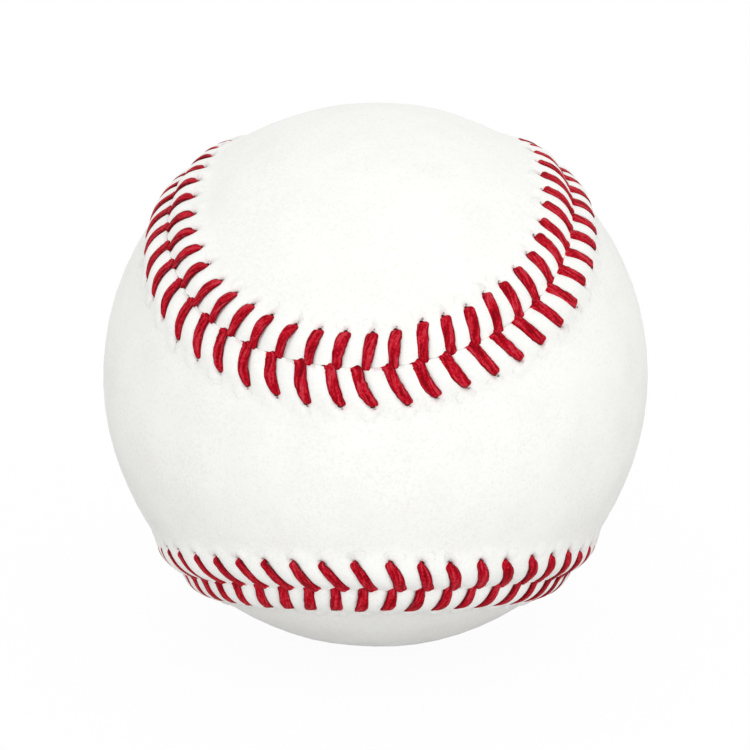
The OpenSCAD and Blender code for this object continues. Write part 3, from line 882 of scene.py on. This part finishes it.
def waxedThread():
    # Cotton cord, dyed red and waxed: deep red with a dull sheen, fibres lying along the twisted plies,
    # painted shade along the pressed edges and painted highlights on the raised fibres
    look = threadFinish
    material, add, inMm = newMaterial("waxed_red_cotton")
    spot = add("UVMap", uv_map="cord")
    along, around, _ = add("SeparateXYZ", {0: spot}).outputs
    turn = add("Math", {0: along, 1: 1 / cord["lay"]}, operation="MULTIPLY")
    lag = add("Math", {0: around, 1: turn}, operation="SUBTRACT")
    # Across the fibres, and stretched along them
    skewed = add("CombineXYZ", {0: lag, 1: along})
    stretch = (look["girth"] / look["fibre"], 1 / look["strand"], 1)
    fibres = add("Mapping", {"Vector": skewed, "Scale": stretch})
    fibre = add("TexNoise", {"Vector": fibres, "Scale": 1, "Detail": 3, "Roughness": 0.6})
    flecks = add("TexNoise", {"Vector": inMm, "Scale": 1 / look["grain"], "Detail": 2, "Roughness": 0.6})
    height = add("Math", {0: flecks, 1: look["fleck"], 2: fibre}, operation="MULTIPLY_ADD")
    folds = add("MapRange", slope(height, look["foldShow"], look["foldShare"]))
    # Twice round the cord this swings from 1 at a pressed edge to -1 on a flat face, for the painted shade
    # along the edges
    swing = add("Math", {0: around, 1: 4 * math.pi}, operation="MULTIPLY")
    swing = add("Math", {0: swing}, operation="COSINE")
    edges = add("MapRange", slope(swing, look["paintedEdgeShadeShow"], look["paintedEdgeShadeShare"]))
    # Darker in the low parts of the fibre texture, and painted shade along the pressed edges
    dark = add("Math", {0: folds, 1: edges}, operation="MAXIMUM")
    # Painted highlights on the high parts of the fibre texture
    paintedHighlight = add("MapRange", slope(height, look["paintedHighlightShow"]))
    colour = layered(add, linear(look["ply"]), [(dark, look["fold"]), (paintedHighlight, look["fuzz"])])
    bump = add("Bump", {"Height": height, "Distance": look["depth"] * mm})
    surface(add, {"Base Color": colour, "Normal": bump, "Roughness": look["roughness"],
                  "Specular IOR Level": look["gloss"]})
    return material


leather = whiteLeather()
panelBack.data.materials.append(leather)
panelFront.data.materials.append(leather)
thread.data.materials.append(waxedThread())
print("cover and thread finished")


# The inside, which shows only when the ball is taken apart
corkFinish = {
    "granules": ("#c79a68", "#8a5c34"),   # light and dark grains of cork
    "binder": "#3d2a1e",                  # rubber that holds them
    "grain": 1.7,                         # mm across a grain
    "edge": (0.42, 0.7),                  # where a grain ends and the rubber begins, in grains
    "depth": 0.12,
    "roughness": 0.85,
}


def corkComposition():
    # Ground cork moulded with rubber: matt, speckled brown grains with dark lines between them
    look = corkFinish
    material, add, inMm = newMaterial("composition_cork")
    cells = add("TexVoronoi", {"Vector": inMm, "Scale": 1 / look["grain"]}, feature="F1")
    tone = add("SeparateColor", {0: cells.outputs["Color"]})
    gap = add("MapRange", slope(cells, look["edge"]))
    light, dark = look["granules"]
    colour = layered(add, linear(light), [(tone, dark), (gap, look["binder"])])
    bump = add("Bump", {"Height": cells, "Distance": look["depth"] * mm}, invert=True)
    surface(add, {"Base Color": colour, "Normal": bump, "Roughness": look["roughness"]})
    return material


rubberFinish = {
    "black": ("#1b1b1c", "#2c2c2e"),   # moulded face, and the pale bloom of talc on it
    "red": ("#8e2a24", "#a8483f"),
    "patch": 3,                        # mm across a patch of bloom
    "bloom": (0.4, 0.7),
    "pit": 0.5,                        # mm between the pits of the mould
    "depth": 0.02,
    "roughness": 0.62,
}


def mouldedRubber(shade):
    # Vulcanised rubber from a steel mould: dull and even, with a dusty bloom and fine pits
    look = rubberFinish
    material, add, inMm = newMaterial(shade + "_vulcanised_rubber")
    dust = add("TexNoise", {"Vector": inMm, "Scale": 1 / look["patch"], "Detail": 5})
    bloom = add("MapRange", slope(dust, look["bloom"]))
    face, talc = look[shade]
    pits = add("TexNoise", {"Vector": inMm, "Scale": 1 / look["pit"], "Detail": 2})
    bump = add("Bump", {"Height": pits, "Distance": look["depth"] * mm})
    surface(add, {"Base Color": layered(add, linear(face), [(bloom, talc)]), "Normal": bump,
                  "Roughness": look["roughness"]})
    return material


yarnFinish = {
    # Top of a strand, the painted shade in the gaps between strands, and mm across a strand
    "grey_wool_yarn": ("#9b9894", "#4b4845", 1.3),
    "white_wool_yarn": ("#ece6d8", "#a89f8c", 1.1),
    "fine_grey_wool_yarn": ("#a5a29d", "#55524e", 1.0),
    "white_cotton_yarn": ("#f1ecdf", "#b9b09c", 0.5),
    "patch": 11,         # mm wound one way before the turns cross
    # Ways in which the turns of a patch run, in radians
    "turns": [(0, 0, 0), (0.6, 0.9, 0.3), (1.9, 0.4, 1.2)],
    "crossed": 0.62,     # value of a patch over which its turns cross those below
    "show": (0.3, 0.9),
    "depth": 0.35,       # of the gaps, in strands
    "roughness": 0.95,
}


def woundYarn(name):
    # Yarn wound tight in turns that cross: rounded strands with painted shade in the gaps, a little fuzzy
    look = yarnFinish
    top, paintedGapShade, strand = look[name]
    material, add, inMm = newMaterial(name)
    patches = add("TexVoronoi", {"Vector": inMm, "Scale": 1 / look["patch"]}, feature="F1")
    tones = add("SeparateColor", {0: patches.outputs["Color"]}).outputs

    def turns(way):
        # Strands side by side: at a scale of 1 the bands of a Wave node lie pi tenths apart
        turned = add("Mapping", {"Vector": inMm, "Rotation": way})
        return add("TexWave", {"Vector": turned, "Scale": math.pi / 10 / strand, "Distortion": 1.5,
                               "Detail": 2, "Detail Scale": 0.6},
                   wave_type="BANDS", bands_direction="X").outputs["Fac"]

    first, *others = look["turns"]
    height = turns(first)
    for way, tone in zip(others, tones[1:]):
        here = add("Math", {0: tone, 1: look["crossed"]}, operation="GREATER_THAN")
        height = add("Mix", {"Factor": here, "A": height, "B": turns(way)}, data_type="FLOAT")
    fuzz = add("TexNoise", {"Vector": inMm, "Scale": 3 / strand, "Detail": 4})
    rough = add("Math", {0: fuzz, 1: 0.5, 2: height}, operation="MULTIPLY_ADD")
    # Painted shade in the low gaps between strands, the yarn's own colour on their tops
    light = add("MapRange", slope(rough, look["show"]))
    bump = add("Bump", {"Height": rough, "Distance": look["depth"] * strand * mm})
    surface(add, {"Base Color": layered(add, linear(paintedGapShade), [(light, top)]), "Normal": bump,
                  "Roughness": look["roughness"]})
    return material


blackRubber, redRubber = mouldedRubber("black"), mouldedRubber("red")
for node, material in (
    ("cork_core", corkComposition()),
    ("black_shell_left", blackRubber),
    ("black_shell_right", blackRubber),
    ("pill_washer", redRubber),
    ("red_layer", redRubber),
    ("grey_wool_winding", woundYarn("grey_wool_yarn")),
    ("white_wool_winding", woundYarn("white_wool_yarn")),
    ("second_grey_winding", woundYarn("fine_grey_wool_yarn")),
    ("finishing_winding", woundYarn("white_cotton_yarn")),
):
    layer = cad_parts[node]
    layer.data.materials.clear()
    layer.data.materials.append(material)
print("inside finished")


# The photograph's view: a long lens, a little above the ball
shot = {
    "azimuth": 2.740, "elevation": 23.564, "roll": -1.014,   # degrees
    "distance": 16,        # ball radii
    "ballPixels": 272.03,  # radius of the leather's outline in the 750 pixel frame
    "middle": (375.72, 374.83),
    "frame": 750,
    "sensor": 36,          # mm
}


def aimCamera():
    az, el, roll = (math.radians(shot[k]) for k in ("azimuth", "elevation", "roll"))
    away = np.array([math.sin(az) * math.cos(el), -math.cos(az) * math.cos(el), math.sin(el)])
    right = np.array([math.cos(az), math.sin(az), 0])
    up = np.cross(away, right)
    level = math.cos(roll) * right + math.sin(roll) * up
    upright = -math.sin(roll) * right + math.cos(roll) * up
    data = bpy.data.cameras.new("camera")
    camera = bpy.data.objects.new("camera", data)
    bpy.context.scene.collection.objects.link(camera)
    spread = math.sqrt(shot["distance"] ** 2 - 1)
    data.sensor_width = shot["sensor"]
    data.lens = shot["sensor"] * shot["ballPixels"] * spread / shot["frame"]
    data.shift_x = (shot["frame"] / 2 - shot["middle"][0]) / shot["frame"]
    data.shift_y = (shot["middle"][1] - shot["frame"] / 2) / shot["frame"]
    data.clip_start = 0.01
    turn = Matrix([[level[k], upright[k], away[k]] for k in range(3)]).to_4x4()
    turn.translation = away * shot["distance"] * leatherR * mm
    camera.matrix_world = turn
    bpy.context.scene.camera = camera


aimCamera()


studio = {
    "floorColour": "#ffffff",
    "bounceColour": "#b6b6b6",   # what the floor throws back on the ball
    "cardColour": "#e2e2e2",     # and what the white card lying in front of it throws back
    "cardReach": (20, 60),       # mm in front of the ball's foot, where the one passes into the other
    "floorSize": 3.0,        # metres
    "shadowShare": 0.05,     # how much of the ball's shadow the white floor keeps
    "ambient": (0.92, 1.00),  # at the horizon and overhead
    "frontPower": 3.9, "frontSize": 0.7, "frontFrom": (0.08, -1.2, 0.00),
    "sidePower": 0.9, "sideSize": 0.7, "sideFrom": (1.0, -0.55, 0.40),
}


def softLamp(name, power, size, position):
    data = bpy.data.lights.new(name, "AREA")
    data.energy = power
    data.shape = "DISK"
    data.size = size
    lamp = bpy.data.objects.new(name, data)
    lamp.location = position
    bpy.context.scene.collection.objects.link(lamp)
    lamp.rotation_mode = "QUATERNION"
    lamp.rotation_quaternion = (-Vector(position)).to_track_quat("-Z", "Y")


def showing(add, *rays):
    # 1 on the camera's and the named rays, which show plain white, and 0 on those that light the ball
    ray = add("LightPath").outputs
    seen = ray["Is Camera Ray"]
    for name in rays:
        seen = add("Math", {0: seen, 1: ray[name]}, operation="MAXIMUM")
    return seen


def setStudio():
    bm = bmesh.new()
    bmesh.ops.create_grid(bm, x_segments=1, y_segments=1, size=studio["floorSize"])
    bmesh.ops.translate(bm, verts=bm.verts, vec=(0, 0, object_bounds()[0].z))
    floor = finishedPiece(bm, "floor")
    material = bpy.data.materials.new("white_paper_sweep")
    add = nodesOf(material)
    spot = add("TexCoord").outputs["Object"]
    forward = add("SeparateXYZ", {0: spot}).outputs["Y"]
    card = add("MapRange", slope(forward, [-reach * mm for reach in studio["cardReach"]]))
    tone = layered(add, linear(studio["bounceColour"]), [
        (card, studio["cardColour"]),
        (showing(add), studio["floorColour"]),
    ])
    paper = add("BsdfDiffuse", {"Color": tone})
    white = add("Emission", {"Color": (1, 1, 1, 1), "Strength": 1})
    seen = showing(add, "Is Glossy Ray", "Is Transmission Ray")
    share = add("Math", {0: seen, 1: 1 - studio["shadowShare"]}, operation="MULTIPLY")
    mixed = add("MixShader", {0: share, 1: paper, 2: white})
    add("OutputMaterial", {"Surface": mixed})
    floor.data.materials.append(material)
    world = bpy.data.worlds.new("studio")
    bpy.context.scene.world = world
    add = nodesOf(world)
    way = add("TexCoord").outputs["Generated"]
    height = add("SeparateXYZ", {0: way}).outputs["Z"]
    horizon, zenith = studio["ambient"]
    tent = add("MapRange", {"Value": height, "To Min": horizon, "To Max": zenith})
    soft = add("Background", {"Color": (1, 1, 1, 1), "Strength": tent})
    white = add("Background", {"Color": (1, 1, 1, 1), "Strength": 1})
    seen = showing(add, "Is Transmission Ray")
    mixed = add("MixShader", {0: seen, 1: soft, 2: white})
    add("OutputWorld", {"Surface": mixed})
    softLamp("front", studio["frontPower"], studio["frontSize"], studio["frontFrom"])
    softLamp("side", studio["sidePower"], studio["sideSize"], studio["sideFrom"])
    bpy.context.scene.view_settings.view_transform = "Standard"


setStudio()
print("studio and camera set")
